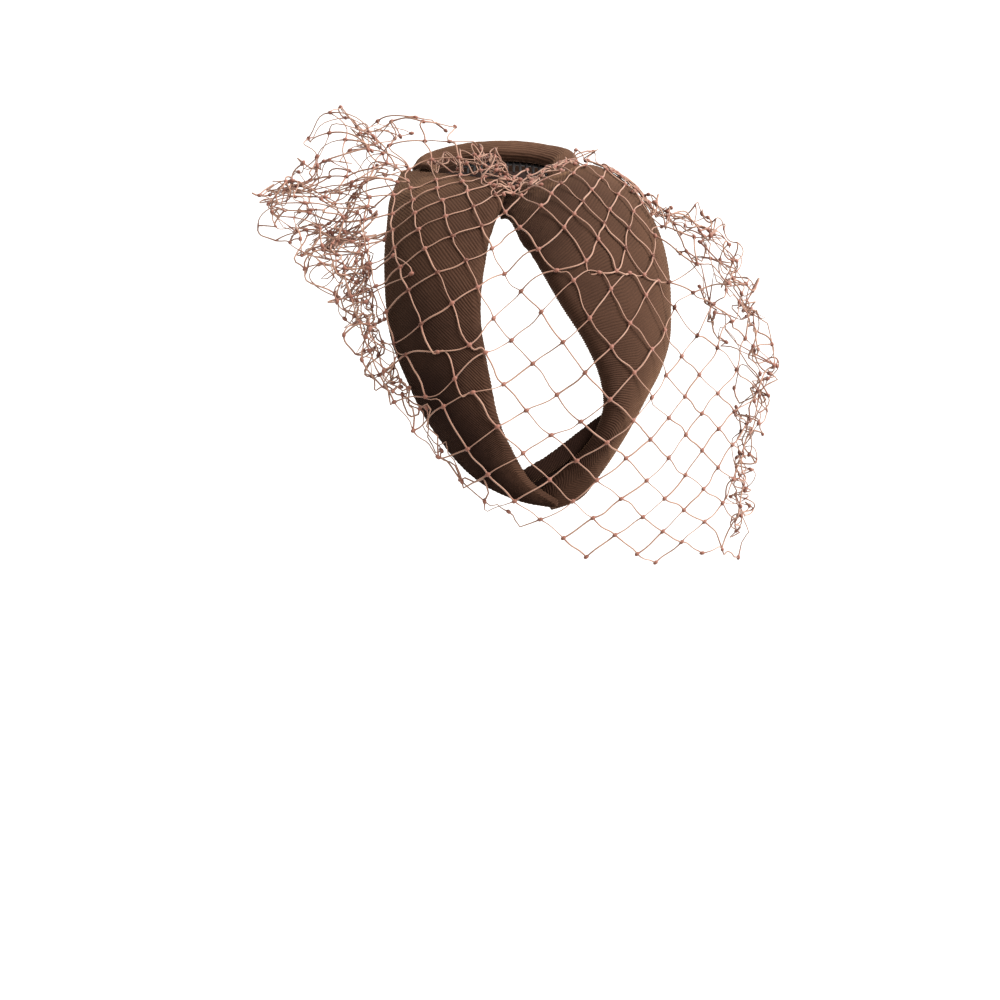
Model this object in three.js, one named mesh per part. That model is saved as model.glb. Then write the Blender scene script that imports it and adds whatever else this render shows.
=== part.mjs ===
// A ribbed-cloth half hat with a net veil, in millimetres, +Z up.
// The front of the hat faces -Y. The origin is the top of the round seat that the hat lies on.
// Two cupped petals make a teardrop loop down the front, and a band arches behind them.
// A hair comb is sewn under the band, and a coarse net is gathered where the petals meet.
import * as THREE from 'three';

// Driving sizes
const seatRadius = 95;        // round seat that the underside follows
const clothWall = 1.6;        // ribbed cloth with its stiffening
const fit = 0.4;              // gap between pieces that are sewn together

const loopWidth = 112;        // front loop, across both petals
const loopLength = 156;       // front loop, from the rear edge to the front point
const loopTilt = 54;          // degrees that the middle of the loop leans forward
const loopYaw = 7;            // degrees that the loop is turned to +X
const petalRise = 16;         // highest lift of a petal off the seat
const petalFold = 3.4;        // distance between the top cloth and the cloth turned under
const petalTurnUnder = 0.62;  // share of a petal's width that is turned under

const bandWidth = 76;         // back band, across its outer edges
const bandDepth = 50;         // back band, from its ends to its back edge
const bandRise = 12;          // highest lift of the back band
const bandFold = 2.2;

const foldWidth = 5.6;        // strip of turned cloth inside the loop
const foldThickness = 2.4;

const combWidth = 33;
const combShift = 1.5;        // the comb's middle, to +X of the hat's middle
const combBack = 17;          // back of the comb's bar, behind the origin
const combToothLength = 19;
const combThickness = 1.5;
const combBarDepth = 4.5;
const combTeeth = 14;
const combSeat = 0.2;         // lift of the comb's underside off the seat

const veilDrop = 173;         // gather to hem, measured over the seat
const veilPuff = 40;          // highest lift of the net off the seat
const veilStrand = 1.1;
const netCell = 13.2;         // side of a square of the coarse net
const netReach = 24;          // squares of net tried to each side
const strandSteps = 2;
const drapeRadius = 10;       // round hill that the net makes over an edge
const netClear = 1.7;         // middle of a strand above what it lies on

const slopeStep = 0.03;       // small share of a row or a cell, to take a direction from
const keyDigits = 6;          // decimals by which two corners count as the same

// Colours
const brownCloth = new THREE.MeshStandardMaterial({ color: 0x4a332b, roughness: 0.85, metalness: 0 });
const blackComb = new THREE.MeshStandardMaterial({ color: 0x121212, roughness: 0.35, metalness: 0 });
const tanNet = new THREE.MeshStandardMaterial({ color: 0x9a6148, roughness: 0.7, metalness: 0 });

// Seat
// A seat frame is a pole on the round seat with its own directions. Distances across and along
// are measured over the seat from that pole, and lift is the height above the seat.
function seatFrame(tiltDegrees, yawDegrees) {
  const tilt = THREE.MathUtils.degToRad(tiltDegrees);
  const yaw = THREE.MathUtils.degToRad(yawDegrees);
  const pole = new THREE.Vector3(
    Math.sin(tilt) * Math.sin(yaw),
    -Math.sin(tilt) * Math.cos(yaw),
    Math.cos(tilt),
  );
  const right = new THREE.Vector3(Math.cos(yaw), Math.sin(yaw), 0);
  return { pole, right, back: pole.clone().cross(right) };
}

function seatPoint(frame, across, along, lift) {
  const reach = Math.hypot(across, along);
  const angle = reach / seatRadius;
  const spread = reach > 0 ? Math.sin(angle) / reach : 0;
  const direction = frame.pole.clone().multiplyScalar(Math.cos(angle))
    .addScaledVector(frame.right, across * spread)
    .addScaledVector(frame.back, along * spread);
  return direction.multiplyScalar(seatRadius + lift).add(new THREE.Vector3(0, 0, -seatRadius));
}

const loopFrame = seatFrame(loopTilt, loopYaw);
const crownFrame = seatFrame(0, 0);

// Tables
// A smooth curve through the rows of a table, at a share from 0, the first row, to 1, the last.
function rowAt(rows, share) {
  const place = THREE.MathUtils.clamp(share, 0, 1) * (rows.length - 1);
  const index = Math.min(Math.floor(place), rows.length - 2);
  const t = place - index;
  const row = (offset) => rows[THREE.MathUtils.clamp(index + offset, 0, rows.length - 1)];
  const [before, start, end, after] = [row(-1), row(0), row(1), row(2)];
  const blended = {};
  for (const name of Object.keys(start)) {
    const a = 2 * start[name];
    const b = end[name] - before[name];
    const c = 2 * before[name] - 5 * start[name] + 4 * end[name] - after[name];
    const d = 3 * (start[name] - end[name]) + after[name] - before[name];
    blended[name] = (a + b * t + c * t * t + d * t * t * t) / 2;
  }
  return blended;
}

function table(names, ...rows) {
  return rows.map((row) => Object.fromEntries(names.map((name, column) => [name, row[column]])));
}

// Solids
function closedMesh(name, points, triangles, material) {
  const geometry = new THREE.BufferGeometry();
  const positions = points.flatMap((point) => [point.x, point.y, point.z]);
  geometry.setAttribute('position', new THREE.Float32BufferAttribute(positions, 3));
  geometry.setIndex(triangles.flat());
  geometry.computeVertexNormals();
  const mesh = new THREE.Mesh(geometry, material);
  mesh.name = name;
  return mesh;
}

// Volume under the triangles, which is negative where they face inwards.
function facesOutwards(points, triangles) {
  let volume = 0;
  for (const [a, b, c] of triangles) {
    volume += points[a].dot(points[b].clone().cross(points[c]));
  }
  return volume > 0;
}

function outward(points, triangles) {
  return facesOutwards(points, triangles) ? triangles : triangles.map(([a, b, c]) => [a, c, b]);
}

function quad(a, b, c, d) {
  return [[a, b, c], [a, c, d]];
}

// A wall lofted through sections. Each section is two lists of points, the two faces of the wall.
function loftedWall(name, sections, material) {
  const points = [];
  const triangles = [];
  const count = sections[0].front.length;
  const ring = 2 * count;
  for (const { front, back } of sections) {
    points.push(...front, ...back.slice().reverse());
  }
  for (let section = 0; section < sections.length - 1; section += 1) {
    for (let side = 0; side < ring; side += 1) {
      const next = (side + 1) % ring;
      const here = section * ring;
      triangles.push(...quad(here + side, here + next, here + ring + next, here + ring + side));
    }
  }
  const last = (sections.length - 1) * ring;
  for (let k = 0; k < count - 1; k += 1) {
    triangles.push(...quad(k, ring - 1 - k, ring - 2 - k, k + 1));
    triangles.push(...quad(last + k, last + k + 1, last + ring - 2 - k, last + ring - 1 - k));
  }
  return closedMesh(name, points, outward(points, triangles), material);
}

// Folded bands
// The middle of the cloth in one section: over the top from the outer edge, round the rolled
// inner edge, and back underneath. Each point is a distance from the outer edge and a lift.
function foldedLine(width, row, fold, turnUnder) {
  const topSteps = 9;
  const rollSteps = 5;
  const underSteps = 5;
  const half = clothWall / 2;
  const foldHere = fold * row.fold + clothWall;
  const roll = foldHere / 2;
  const topWidth = width - roll - half;
  const lift = (share) => row.outerLift + (row.innerLift - row.outerLift) * share
    + row.bulge * 4 * share * (1 - share) - half;
  const slope = (share) => (row.innerLift - row.outerLift + row.bulge * 4 * (1 - 2 * share)) / topWidth;
  const normal = (share) => new THREE.Vector2(-slope(share), 1).normalize();
  const top = (share) => new THREE.Vector2(topWidth * share, lift(share));
  const line = [];
  for (let step = 0; step <= topSteps; step += 1) {
    line.push(top(step / topSteps));
  }
  const centre = top(1).addScaledVector(normal(1), -roll);
  const start = normal(1).angle();
  for (let step = 1; step < rollSteps; step += 1) {
    const angle = start - Math.PI * step / rollSteps;
    line.push(new THREE.Vector2(Math.cos(angle), Math.sin(angle)).multiplyScalar(roll).add(centre));
  }
  for (let step = 0; step <= underSteps; step += 1) {
    const share = 1 - turnUnder * step / underSteps;
    line.push(top(share).addScaledVector(normal(share), -foldHere));
  }
  return line;
}

// The two faces of the cloth, half a wall to each side of its middle.
function clothFaces(line) {
  const half = clothWall / 2;
  const faces = { front: [], back: [] };
  line.forEach((point, index) => {
    const before = line[Math.max(index - 1, 0)];
    const after = line[Math.min(index + 1, line.length - 1)];
    const along = after.clone().sub(before).normalize();
    const side = new THREE.Vector2(-along.y, along.x).multiplyScalar(half);
    faces.front.push(point.clone().add(side));
    faces.back.push(point.clone().sub(side));
  });
  return faces;
}

function foldedBand(name, rows, sizes, material) {
  const sections = [];
  for (let station = 0; station <= sizes.stations; station += 1) {
    const row = rowAt(rows, station / sizes.stations);
    const outer = new THREE.Vector2(row.outerAcross * sizes.width, row.outerAlong * sizes.length);
    const inner = new THREE.Vector2(row.innerAcross * sizes.width, row.innerAlong * sizes.length);
    const lifts = {
      outerLift: row.outerLift * sizes.rise,
      innerLift: row.innerLift * sizes.rise,
      bulge: row.bulge * sizes.rise,
      fold: row.fold,
    };
    const width = inner.distanceTo(outer);
    const faces = clothFaces(foldedLine(width, lifts, sizes.fold, sizes.turnUnder));
    const place = (point) => {
      const spot = outer.clone().lerp(inner, point.x / width);
      return seatPoint(sizes.frame, spot.x, spot.y, point.y);
    };
    sections.push({ front: faces.front.map(place), back: faces.back.map(place) });
  }
  return loftedWall(name, sections, material);
}

// Petals
// Each row is a section, from the rear edge to the front point. Places are shares of the loop's
// width and length, lifts and bulge are shares of the rise, and fold is a share of the fold.
const petalColumns = [
  'outerAcross', 'outerAlong', 'innerAcross', 'innerAlong', 'outerLift', 'innerLift', 'bulge', 'fold',
];
const leftPetalRows = table(
  petalColumns,
  [-0.37, 0.59, -0.012, 0.40, 0.42, 0.56, 0.08, 0.10],
  [-0.42, 0.46, -0.038, 0.295, 0.20, 0.58, 0.20, 0.40],
  [-0.43, 0.33, -0.082, 0.22, 0.14, 0.55, 0.30, 1.00],
  [-0.433, 0.20, -0.112, 0.13, 0.13, 0.58, 0.30, 1.00],
  [-0.428, 0.10, -0.13, 0.035, 0.13, 0.58, 0.28, 1.00],
  [-0.415, 0.01, -0.127, -0.04, 0.13, 0.56, 0.26, 1.00],
  [-0.375, -0.08, -0.115, -0.105, 0.13, 0.53, 0.24, 1.00],
  [-0.32, -0.175, -0.10, -0.185, 0.14, 0.50, 0.20, 0.90],
  [-0.24, -0.265, -0.073, -0.24, 0.18, 0.47, 0.14, 0.70],
  [-0.15, -0.322, -0.038, -0.287, 0.31, 0.50, 0.08, 0.40],
  [-0.04, -0.355, 0.005, -0.32, 0.48, 0.54, 0.03, 0.10],
  [0.045, -0.378, 0.054, -0.358, 0.54, 0.54, 0.00, 0.08],
);
const rightPetalRows = table(
  petalColumns,
  [-0.035, 0.385, -0.047, 0.295, 0.29, 0.29, 0.00, 0.08],
  [0.04, 0.45, -0.02, 0.26, 0.38, 0.38, 0.06, 0.20],
  [0.17, 0.47, 0.00, 0.20, 0.45, 0.58, 0.22, 0.70],
  [0.33, 0.51, 0.02, 0.16, 0.45, 0.68, 0.40, 1.00],
  [0.48, 0.47, 0.042, 0.115, 0.28, 0.76, 0.44, 1.00],
  [0.55, 0.35, 0.07, 0.065, 0.18, 0.82, 0.36, 1.00],
  [0.54, 0.21, 0.10, 0.02, 0.15, 0.84, 0.28, 1.00],
  [0.51, 0.085, 0.133, -0.026, 0.14, 0.82, 0.24, 1.00],
  [0.485, 0.00, 0.162, -0.07, 0.14, 0.78, 0.22, 1.00],
  [0.435, -0.078, 0.187, -0.108, 0.14, 0.74, 0.18, 0.90],
  [0.365, -0.157, 0.205, -0.143, 0.14, 0.68, 0.12, 0.80],
  [0.29, -0.24, 0.187, -0.20, 0.14, 0.56, 0.08, 0.60],
  [0.218, -0.31, 0.155, -0.25, 0.16, 0.42, 0.05, 0.30],
  [0.148, -0.365, 0.105, -0.29, 0.20, 0.28, 0.03, 0.10],
  [0.02, -0.388, 0.008, -0.348, 0.23, 0.23, 0.00, 0.08],
);

function petal(name, rows) {
  return foldedBand(name, rows, {
    frame: loopFrame,
    width: loopWidth,
    length: loopLength,
    rise: petalRise,
    fold: petalFold,
    turnUnder: petalTurnUnder,
    stations: 24,
  }, brownCloth);
}

// Back band
// Each row is a section from the left end, round the back, to the right end. The left end meets
// the left petal's rear edge, and the right end is tucked under the right petal's rear edge.
function crownShares(spot, lift) {
  const point = seatPoint(loopFrame, spot.across * loopWidth, spot.along * loopLength, lift);
  point.z += seatRadius;
  const reach = seatRadius * crownFrame.pole.angleTo(point);
  const across = point.dot(crownFrame.right);
  const along = point.dot(crownFrame.back);
  const scale = reach / Math.hypot(across, along);
  return { across: across * scale / bandWidth, along: along * scale / bandDepth };
}

function edgeSpot(row, share, behind) {
  const across = THREE.MathUtils.lerp(row.outerAcross, row.innerAcross, share);
  const along = THREE.MathUtils.lerp(row.outerAlong, row.innerAlong, share);
  return { across, along: along + behind / loopLength };
}

function bandEnd(outer, inner, lift) {
  const outside = crownShares(outer, 0);
  const inside = crownShares(inner, 0);
  return {
    outerAcross: outside.across,
    outerAlong: outside.along,
    innerAcross: inside.across,
    innerAlong: inside.along,
    outerLift: lift / bandRise,
    innerLift: lift / bandRise,
    bulge: 0.04,
    fold: bandEndFold,
  };
}

const bandEndFold = 0.2;           // share of the band's fold where it meets a petal
const leftSewnShares = [0.06, 0.42];   // the part of the left petal's rear edge that it meets
const tuck = 3;                    // length of band under the right petal's rear edge
const leftRear = leftPetalRows[0];
const [rightRear, rightRearNext] = rightPetalRows.slice(2);
// Lift of the band's inner edge where it passes over the comb
const overComb = (combSeat + combThickness + fit + bandFold + 2 * clothWall) / bandRise;
const bandRows = [
  bandEnd(
    edgeSpot(leftRear, leftSewnShares[0], fit),
    edgeSpot(leftRear, leftSewnShares[1], fit),
    leftRear.outerLift * petalRise,
  ),
  ...table(
    petalColumns,
    [-0.44, 0.44, -0.22, 0.06, 0.20, overComb, 0.30, 0.80],
    [-0.30, 0.76, -0.13, 0.21, 0.14, overComb, 0.40, 1.00],
    [0.00, 0.88, 0.00, 0.26, 0.14, overComb, 0.42, 1.00],
    [0.29, 0.78, 0.13, 0.22, 0.14, overComb, 0.42, 1.00],
    [0.41, 0.50, 0.22, 0.09, 0.14, overComb, 0.42, 0.90],
    [0.40, 0.20, 0.24, -0.08, 0.22, 0.54, 0.26, 0.60],
    [0.39, -0.02, 0.235, -0.24, 0.30, 0.40, 0.05, 0.20],
  ),
  bandEnd(
    edgeSpot(rightRearNext, 0, -tuck),
    edgeSpot(rightRear, 0, -tuck),
    rightRear.outerLift * petalRise - clothWall - fit,
  ),
];

function backBand() {
  return foldedBand('back_band', bandRows, {
    frame: crownFrame,
    width: bandWidth,
    length: bandDepth,
    rise: bandRise,
    fold: bandFold,
    turnUnder: petalTurnUnder,
    stations: 20,
  }, brownCloth);
}

// Fold inside the loop
// Each row is a point on the middle of the strip, as shares of the loop's width and length,
// with the lift of its underside as a share of the petals' rise.
const underFoldRows = table(
  ['across', 'along', 'lift'],
  [-0.035, -0.322, 0.02],
  [0.05, -0.288, 0.02],
  [0.12, -0.26, 0.02],
  [0.17, -0.228, 0.03],
  [0.205, -0.19, 0.07],
  [0.232, -0.155, 0.10],
);

function underFold() {
  const stations = 12;
  const sides = 10;
  const points = [];
  const triangles = [];
  for (let station = 0; station <= stations; station += 1) {
    const share = station / stations;
    const row = rowAt(underFoldRows, share);
    const ahead = rowAt(underFoldRows, Math.min(share + slopeStep, 1));
    const behind = rowAt(underFoldRows, Math.max(share - slopeStep, 0));
    const along = new THREE.Vector2(
      (ahead.across - behind.across) * loopWidth,
      (ahead.along - behind.along) * loopLength,
    ).normalize();
    for (let side = 0; side < sides; side += 1) {
      const angle = 2 * Math.PI * side / sides;
      const out = Math.cos(angle) * foldWidth / 2;
      const lift = row.lift * petalRise + foldThickness / 2 * (1 + Math.sin(angle));
      points.push(seatPoint(
        loopFrame,
        row.across * loopWidth - along.y * out,
        row.along * loopLength + along.x * out,
        lift,
      ));
    }
  }
  for (let station = 0; station < stations; station += 1) {
    for (let side = 0; side < sides; side += 1) {
      const here = station * sides;
      const next = (side + 1) % sides;
      triangles.push(...quad(here + side, here + next, here + sides + next, here + sides + side));
    }
  }
  const last = stations * sides;
  for (let side = 1; side < sides - 1; side += 1) {
    triangles.push([0, side + 1, side]);
    triangles.push([last, last + side, last + side + 1]);
  }
  return closedMesh('right_under_fold', points, outward(points, triangles), brownCloth);
}

// Sheets
// A flat pattern of quads, placed by a function and given a thickness. Edges that only one quad
// uses get a side wall, so that the openings of the pattern go right through.
function sheetSolid(name, cells, place, thickness, material) {
  const keys = new Map();
  const points = [];
  const triangles = [];
  const borders = new Map();
  const pointOf = (u, v) => {
    const key = `${u.toFixed(keyDigits)},${v.toFixed(keyDigits)}`;
    if (!keys.has(key)) {
      keys.set(key, points.length);
      const { position, normal } = place(u, v);
      points.push(position.clone().addScaledVector(normal, thickness / 2));
      points.push(position.clone().addScaledVector(normal, -thickness / 2));
    }
    return keys.get(key);
  };
  for (const cell of cells) {
    const corners = cell.map(([u, v]) => pointOf(u, v));
    const [a, b, c, d] = corners;
    triangles.push(...quad(a, b, c, d), ...quad(a + 1, d + 1, c + 1, b + 1));
    corners.forEach((corner, index) => {
      const next = corners[(index + 1) % corners.length];
      if (!borders.delete(`${next},${corner}`)) {
        borders.set(`${corner},${next}`, [corner, next]);
      }
    });
  }
  for (const [start, end] of borders.values()) {
    triangles.push(...quad(start, start + 1, end + 1, end));
  }
  return closedMesh(name, points, outward(points, triangles), material);
}

// Comb
// A bar under the back band's inner edge, with teeth that lie forward along the seat.
function hairComb() {
  const lift = combSeat + combThickness / 2;
  const toothPitch = combWidth / (combTeeth - 0.5);
  const toothWidth = toothPitch / 2;
  const toothSteps = 3;
  const cells = [];
  const strip = (left, right, front, back) => {
    cells.push([[left, front], [right, front], [right, back], [left, back]]);
  };
  for (let tooth = 0; tooth < combTeeth; tooth += 1) {
    const left = combShift + tooth * toothPitch - combWidth / 2;
    const right = left + toothWidth;
    strip(left, right, combBack - combBarDepth, combBack);
    if (tooth < combTeeth - 1) {
      strip(right, left + toothPitch, combBack - combBarDepth, combBack);
    }
    for (let step = 0; step < toothSteps; step += 1) {
      const back = combBack - combBarDepth - combToothLength * step / toothSteps;
      strip(left, right, back - combToothLength / toothSteps, back);
    }
  }
  const place = (across, along) => {
    const position = seatPoint(crownFrame, across, along, lift);
    const normal = position.clone().add(new THREE.Vector3(0, 0, seatRadius)).normalize();
    return { position, normal };
  };
  return sheetSolid('hair_comb', cells, place, combThickness, blackComb);
}

// Veil
// The net lies on the petals, with puffs that stand off the seat. Places are measured from the
// gather, over the loop's seat frame, as shares of the drop. Lifts are shares of the puff.
const gatherAcross = 0.018 * loopWidth;
const gatherAlong = 0.397 * loopLength;
const netLift = 0.15;
const puffRows = table(
  ['across', 'along', 'spread', 'lift'],
  [-0.31, 0.20, 0.12, 0.88],
  [-0.54, -0.04, 0.12, 0.70],
  [0.37, -0.16, 0.085, 0.36],
  [0.53, -0.33, 0.13, 0.26],
  [0.56, -0.82, 0.11, 0.26],
);
// The edge of the net, by its reach at each turn in degrees from straight ahead.
const edgeRows = table(
  ['turn', 'reach'],
  [-180, 0.15], [-158, 0.19], [-140, 0.26], [-120, 0.34], [-104, 0.40], [-88, 0.49], [-75, 0.53],
  [-60, 0.51], [-45, 0.52], [-25, 0.59], [-10, 0.67], [2, 0.75], [12, 0.83], [22, 0.91], [32, 1.01],
  [40, 0.96], [50, 0.83], [58, 0.68], [65, 0.53], [76, 0.39], [88, 0.32], [114, 0.24], [150, 0.18],
  [180, 0.15],
);
// The strip of net lies in a wide bend round a point behind the hat.
const bendAcross = 0.27 * loopWidth;
const bendAlong = 1.08 * loopLength;
const bendRadius = 165;

function edgeReach(turn) {
  const after = edgeRows.findIndex((row) => turn <= row.turn);
  const [start, end] = [edgeRows[Math.max(after, 1) - 1], edgeRows[Math.max(after, 1)]];
  return veilDrop * THREE.MathUtils.mapLinear(turn, start.turn, end.turn, start.reach, end.reach);
}

function insideEdge({ across, along }) {
  const forward = gatherAlong - along;
  const turn = THREE.MathUtils.radToDeg(Math.atan2(across - gatherAcross, forward));
  return Math.hypot(across - gatherAcross, forward) < edgeReach(turn);
}

// The lift that the net is held up to by the pieces under it, as round hills on their points.
function coverOf(meshes) {
  const spots = [];
  for (const mesh of meshes) {
    const { position } = mesh.geometry.attributes;
    for (let index = 0; index < position.count; index += 1) {
      const point = new THREE.Vector3().fromBufferAttribute(position, index);
      point.z += seatRadius;
      spots.push({ lift: point.length() - seatRadius, direction: point.normalize() });
    }
  }
  return (direction) => {
    let highest = 0;
    for (const spot of spots) {
      const away = seatRadius * direction.angleTo(spot.direction);
      highest = Math.max(highest, spot.lift - away * away / (2 * drapeRadius));
    }
    return highest;
  };
}

// A knot's place on the flat strip becomes a place on the seat.
function netSpot(i, j) {
  const half = netCell / Math.SQRT2;
  const angle = (i + j) * half / bendRadius;
  const reach = bendRadius + (j - i) * half;
  return {
    across: bendAcross + Math.sin(angle) * reach,
    along: bendAlong - Math.cos(angle) * reach,
  };
}

function veil(cover) {
  const netPoint = (i, j) => {
    const spot = netSpot(i, j);
    let puff = netLift;
    for (const row of puffRows) {
      const across = (spot.across - gatherAcross) / veilDrop - row.across;
      const along = (spot.along - gatherAlong) / veilDrop - row.along;
      puff += row.lift * Math.exp(-(across * across + along * along) / (2 * row.spread * row.spread));
    }
    const ground = seatPoint(loopFrame, spot.across, spot.along, 0);
    ground.z += seatRadius;
    const held = cover(ground.normalize()) + netClear;
    return seatPoint(loopFrame, spot.across, spot.along, Math.max(puff * veilPuff, held));
  };
  const place = (i, j) => {
    const alongI = netPoint(i + slopeStep, j).sub(netPoint(i - slopeStep, j));
    const alongJ = netPoint(i, j + slopeStep).sub(netPoint(i, j - slopeStep));
    return { position: netPoint(i, j), normal: alongJ.cross(alongI).normalize() };
  };

  // Cells whose four corners lie inside the edge, with the knots and strands round them
  const knots = new Map();
  const strands = new Map();
  const addKnot = (i, j) => {
    const here = netPoint(i, j);
    const half = veilStrand / 2;
    knots.set(`${i},${j}`, {
      i,
      j,
      halfI: half / here.distanceTo(netPoint(i + 0.5, j)) / 2,
      halfJ: half / here.distanceTo(netPoint(i, j + 0.5)) / 2,
    });
  };
  for (let i = -netReach; i < netReach; i += 1) {
    for (let j = -netReach; j < netReach; j += 1) {
      const corners = [[i, j], [i + 1, j], [i + 1, j + 1], [i, j + 1]];
      if (corners.every(([a, b]) => insideEdge(netSpot(a, b)))) {
        corners.forEach(([a, b]) => addKnot(a, b));
        strands.set(`${i},${j},i`, [i, j, 1, 0]);
        strands.set(`${i},${j + 1},i`, [i, j + 1, 1, 0]);
        strands.set(`${i},${j},j`, [i, j, 0, 1]);
        strands.set(`${i + 1},${j},j`, [i + 1, j, 0, 1]);
      }
    }
  }

  const cells = [];
  for (const { i, j, halfI, halfJ } of knots.values()) {
    cells.push([
      [i - halfI, j - halfJ], [i + halfI, j - halfJ],
      [i + halfI, j + halfJ], [i - halfI, j + halfJ],
    ]);
  }
  const mix = THREE.MathUtils.lerp;
  for (const [i, j, stepI, stepJ] of strands.values()) {
    const start = knots.get(`${i},${j}`);
    const end = knots.get(`${i + stepI},${j + stepJ}`);
    for (let step = 0; step < strandSteps; step += 1) {
      const [from, to] = [step / strandSteps, (step + 1) / strandSteps];
      if (stepI) {
        const along = (share) => mix(i + start.halfI, i + 1 - end.halfI, share);
        const half = (share) => mix(start.halfJ, end.halfJ, share);
        cells.push([
          [along(from), j - half(from)], [along(to), j - half(to)],
          [along(to), j + half(to)], [along(from), j + half(from)],
        ]);
      } else {
        const along = (share) => mix(j + start.halfJ, j + 1 - end.halfJ, share);
        const half = (share) => mix(start.halfI, end.halfI, share);
        cells.push([
          [i - half(from), along(from)], [i + half(from), along(from)],
          [i + half(to), along(to)], [i - half(to), along(to)],
        ]);
      }
    }
  }
  return sheetSolid('veil', cells, place, veilStrand, tanNet);
}

// Assembly
const clothPieces = [
  petal('left_petal', leftPetalRows),
  petal('right_petal', rightPetalRows),
  underFold(),
  backBand(),
];
const fascinator = new THREE.Group();
fascinator.add(...clothPieces, hairComb(), veil(coverOf(clothPieces)));

export default fascinator;
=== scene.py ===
import math

import bmesh
import bpy
import numpy as np
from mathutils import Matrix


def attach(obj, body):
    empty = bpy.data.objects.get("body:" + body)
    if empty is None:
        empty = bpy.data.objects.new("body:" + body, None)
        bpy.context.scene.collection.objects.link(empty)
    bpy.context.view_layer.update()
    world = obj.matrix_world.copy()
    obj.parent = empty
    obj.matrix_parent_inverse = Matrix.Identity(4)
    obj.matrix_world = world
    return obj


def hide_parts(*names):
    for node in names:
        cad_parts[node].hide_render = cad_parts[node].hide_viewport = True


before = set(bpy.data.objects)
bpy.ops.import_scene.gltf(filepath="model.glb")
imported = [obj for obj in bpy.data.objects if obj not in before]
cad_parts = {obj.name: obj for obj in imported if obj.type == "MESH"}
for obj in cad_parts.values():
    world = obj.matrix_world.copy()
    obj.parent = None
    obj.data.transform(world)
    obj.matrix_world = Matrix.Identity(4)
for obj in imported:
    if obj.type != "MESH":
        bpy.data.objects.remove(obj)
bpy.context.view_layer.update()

scene = bpy.context.scene

# Camera
# It looks at the front of the hat from a little above, at the photo's viewing angle.
camera_data = bpy.data.cameras.new("camera")
camera_data.lens = 50.4
camera_data.sensor_width = 36.0
camera = bpy.data.objects.new("camera", camera_data)
camera.location = (0.0, -0.534, 0.112)
camera.rotation_euler = (math.radians(90.0 - 25.1), 0.0, 0.0)
scene.collection.objects.link(camera)
scene.camera = camera


# Left petal
# A band of ribbed cloth over a stiff shape. Its inner edge is rolled and turned under, and it laps
# over the right petal at the front point. The ribs run slantwise, down from its outer edge.
MM = 0.001
SEAT_RADIUS = 95.0         # round seat that the underside follows, in millimetres
CLOTH_WALL = 1.6
LOOP_WIDTH = 112.0         # front loop, across both petals
LOOP_LENGTH = 156.0        # front loop, from the rear edge to the front point
RIB_SAMPLES = 6            # rows of points to one rib
RIB_PITCH = 1.1            # rib to rib
RIB_HEIGHT = 0.34          # on the back band and the narrow strip, where the cloth bends sharply
FLAT_RIB_HEIGHT = 0.25     # on the wide petals, where the cloth is flatter
RIB_FADE = 1.5             # length over which the ribs begin at a petal's end
RIB_BOLDNESS = 0.75        # of the ribs at a petal's outer edge, as a share of their height
RIB_BOLDNESS_GAIN = 0.85   # added to it towards the inner edge
PETAL_ROLL = 8.0           # cloth round a petal's rolled edge
PETAL_STOPS = (32, 9, 8)   # rows of points over the top, round the roll and underneath
PETAL_BUCKLE = 0.9         # slow unevenness of the petals


def seat_frame(tilt_degrees, yaw_degrees):
    """A pole on the round seat, with the directions to its right and its back."""
    tilt, yaw = math.radians(tilt_degrees), math.radians(yaw_degrees)
    pole = np.array([
        math.sin(tilt) * math.sin(yaw),
        -math.sin(tilt) * math.cos(yaw),
        math.cos(tilt),
    ])
    right = np.array([math.cos(yaw), math.sin(yaw), 0.0])
    return pole, right, np.cross(pole, right)


def seat_points(seat, across, along, lift):
    """Points at distances over the seat from its pole, and at a lift off the seat."""
    pole, right, back = seat
    angle = np.hypot(across, along) / SEAT_RADIUS
    spread = np.sinc(angle / np.pi) / SEAT_RADIUS
    direction = (
        np.cos(angle)[..., None] * pole
        + (across * spread)[..., None] * right
        + (along * spread)[..., None] * back
    )
    return direction * (SEAT_RADIUS + lift)[..., None] - np.array([0.0, 0.0, SEAT_RADIUS])


LOOP_SEAT = seat_frame(54.0, 7.0)


def row_at(rows, share):
    """A smooth curve through a table's rows, at shares from 0, the first, to 1, the last."""
    table = np.asarray(rows)
    last = len(table) - 1
    place = np.clip(share, 0.0, 1.0) * last
    index = np.minimum(place.astype(int), last - 1)
    t = (place - index)[..., None]
    before, start, end, after = (table[np.clip(index + k, 0, last)] for k in (-1, 0, 1, 2))
    b = end - before
    c = 2 * before - 5 * start + 4 * end - after
    d = 3 * (start - end) + after - before
    return (2 * start + b * t + c * t * t + d * t ** 3) / 2


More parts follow.
